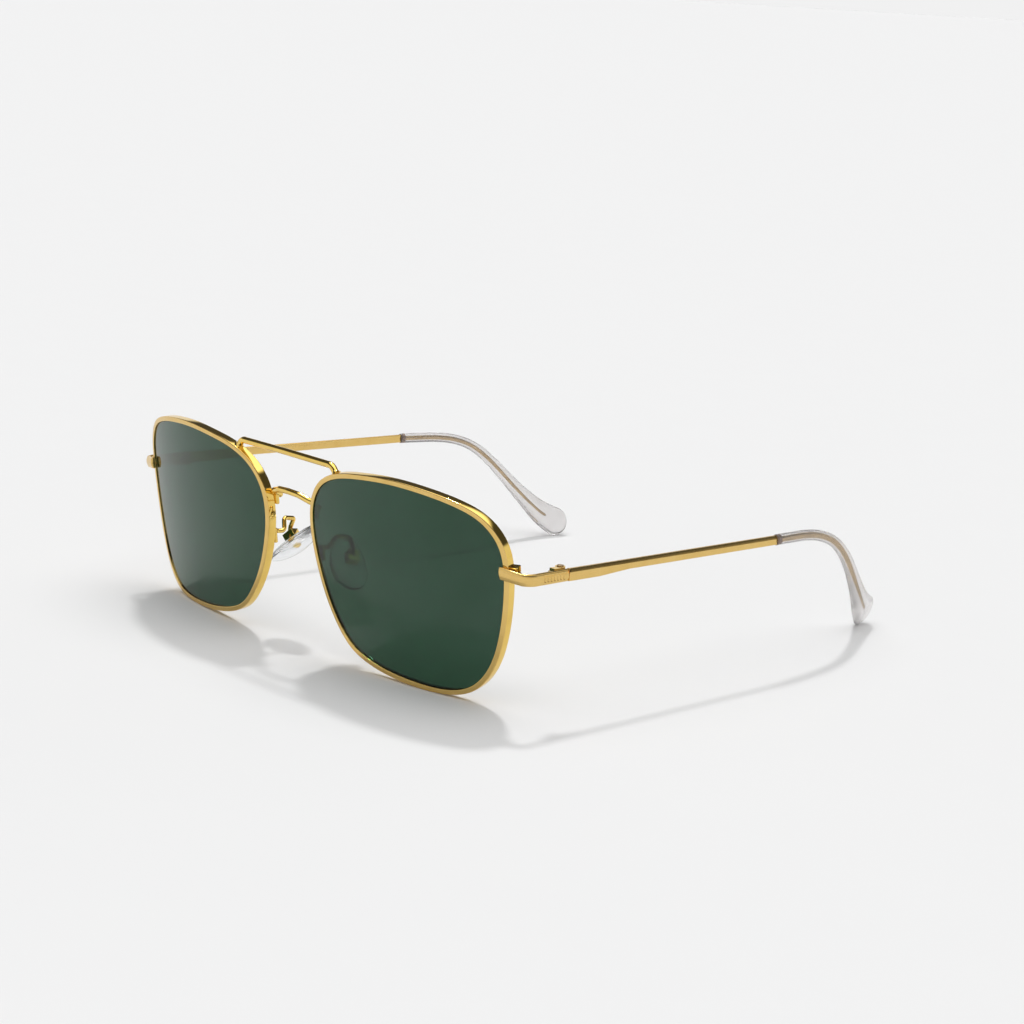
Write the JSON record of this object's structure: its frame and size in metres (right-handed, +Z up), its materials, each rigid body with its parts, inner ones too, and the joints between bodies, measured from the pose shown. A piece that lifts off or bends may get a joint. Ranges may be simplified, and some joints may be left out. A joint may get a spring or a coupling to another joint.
{
  "type": "wire frame sunglasses",
  "caption": "Folding sunglasses with a thin gold wire double bridge frame, dark green tinted curved lenses, rocking clear nose pads and clear ear tips.",
  "frame": {"origin": "on the table, below the middle of the open frame", "axes": "+X to the wearer's left, +Y back along the temples (the lenses face -Y), +Z up"},
  "size_m": [0.146, 0.147, 0.0477],
  "materials": {
    "gold_satin": "satin",
    "gold_polished": "polished",
    "screw_gold": "polished",
    "lens_green": "gloss",
    "clear_acetate": "gloss",
    "clear_silicone": "gloss"
  },
  "bodies": {
    "front": {"brow_bar": "gold_polished", "nose_bridge": "gold_polished", "left_rim": "gold_satin", "left_lens": "lens_green", "left_closing_block_upper": "gold_polished", "left_closing_block_lower": "gold_polished", "left_rim_screw": "screw_gold", "left_end_piece": "gold_satin", "left_hinge_front": "gold_polished", "left_hinge_screw": "screw_gold", "left_pad_arm": "gold_polished", "left_pad_box": "gold_polished", "left_pad_screw": "screw_gold", "right_rim": "gold_satin", "right_lens": "lens_green", "right_closing_block_upper": "gold_polished", "right_closing_block_lower": "gold_polished", "right_rim_screw": "screw_gold", "right_end_piece": "gold_satin", "right_hinge_front": "gold_polished", "right_hinge_screw": "screw_gold", "right_pad_arm": "gold_polished", "right_pad_box": "gold_polished", "right_pad_screw": "screw_gold"},
    "left_temple_arm": {"left_hinge_rear": "gold_polished", "left_temple": "gold_satin", "left_ear_tip": "clear_acetate"},
    "left_pad": {"left_pad_insert": "gold_polished", "left_nose_pad": "clear_silicone"},
    "right_temple_arm": {"right_hinge_rear": "gold_polished", "right_temple": "gold_satin", "right_ear_tip": "clear_acetate"},
    "right_pad": {"right_pad_insert": "gold_polished", "right_nose_pad": "clear_silicone"}
  },
  "joints": [
    {"name": "left_temple_fold", "type": "hinge", "parent": "front", "child": "left_temple_arm", "pos_m": [0.07012, -0.05004, 0.03076], "axis": [-0.0004, 0.0115, 0.9999], "range_deg": [0, 88]},
    {"name": "right_temple_fold", "type": "hinge", "parent": "front", "child": "right_temple_arm", "pos_m": [-0.07012, -0.05004, 0.03076], "axis": [-0.0004, -0.0115, -0.9999], "range_deg": [0, 84]},
    {"name": "left_pad_rock", "type": "hinge", "parent": "front", "child": "left_pad", "pos_m": [0.01192, -0.06027, 0.02328], "axis": [-0.266, -0.9466, 0.1823], "range_deg": [-10, 10]},
    {"name": "right_pad_rock", "type": "hinge", "parent": "front", "child": "right_pad", "pos_m": [-0.01192, -0.06027, 0.02328], "axis": [0.266, -0.9466, 0.1823], "range_deg": [-10, 10]}
  ]
}
